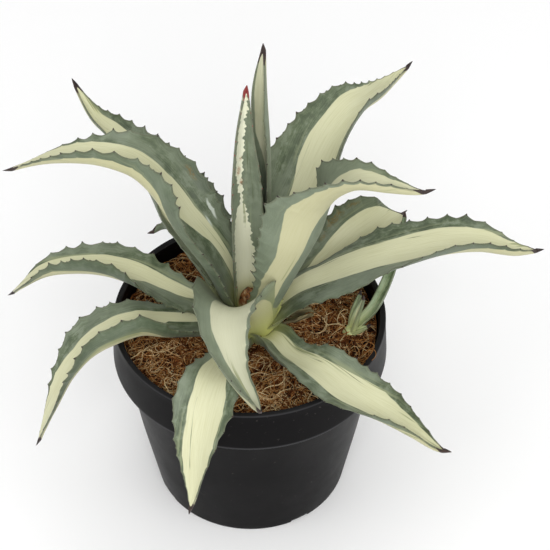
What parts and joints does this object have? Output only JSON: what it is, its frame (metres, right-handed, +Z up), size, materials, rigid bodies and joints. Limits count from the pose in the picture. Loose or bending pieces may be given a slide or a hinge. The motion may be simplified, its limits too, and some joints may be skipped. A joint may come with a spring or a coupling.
{
  "type": "potted agave",
  "caption": "Potted agave: a rosette of arching, toothed, cream-striped leaves with a young offset, in a fibrous filling in a black nursery pot.",
  "frame": {"origin": "centre of the pot's underside", "axes": "+Z up along the pot's axis, -Y toward the viewer of the picture, +X to the right"},
  "size_m": [0.3792, 0.2872, 0.38],
  "materials": {
    "pot_plastic": "satin black, moulded",
    "coir": "loose dry fibres",
    "leaf": "waxy grey-green with a cream centre stripe",
    "stem": "pale and fleshy",
    "dried_leaf": "dry and fibrous",
    "offset_leaf": "waxy pale green"
  },
  "bodies": {
    "root": {"pot": "pot_plastic", "coir_substrate": "coir", "stem": "stem", "leaf_spear": "leaf", "leaf_inner": "leaf", "leaf_arching_right": "leaf", "leaf_back_right": "leaf", "leaf_arching_left": "leaf", "leaf_back_left": "leaf", "leaf_front_folded": "leaf", "leaf_behind_right": "leaf", "leaf_right": "leaf", "leaf_left": "leaf", "leaf_small_back": "leaf", "leaf_front_low": "leaf", "leaf_left_low": "leaf", "leaf_front_right": "leaf", "leaf_back_low": "leaf", "leaf_old_stub": "dried_leaf", "offset_plant": "offset_leaf"}
  },
  "joints": []
}
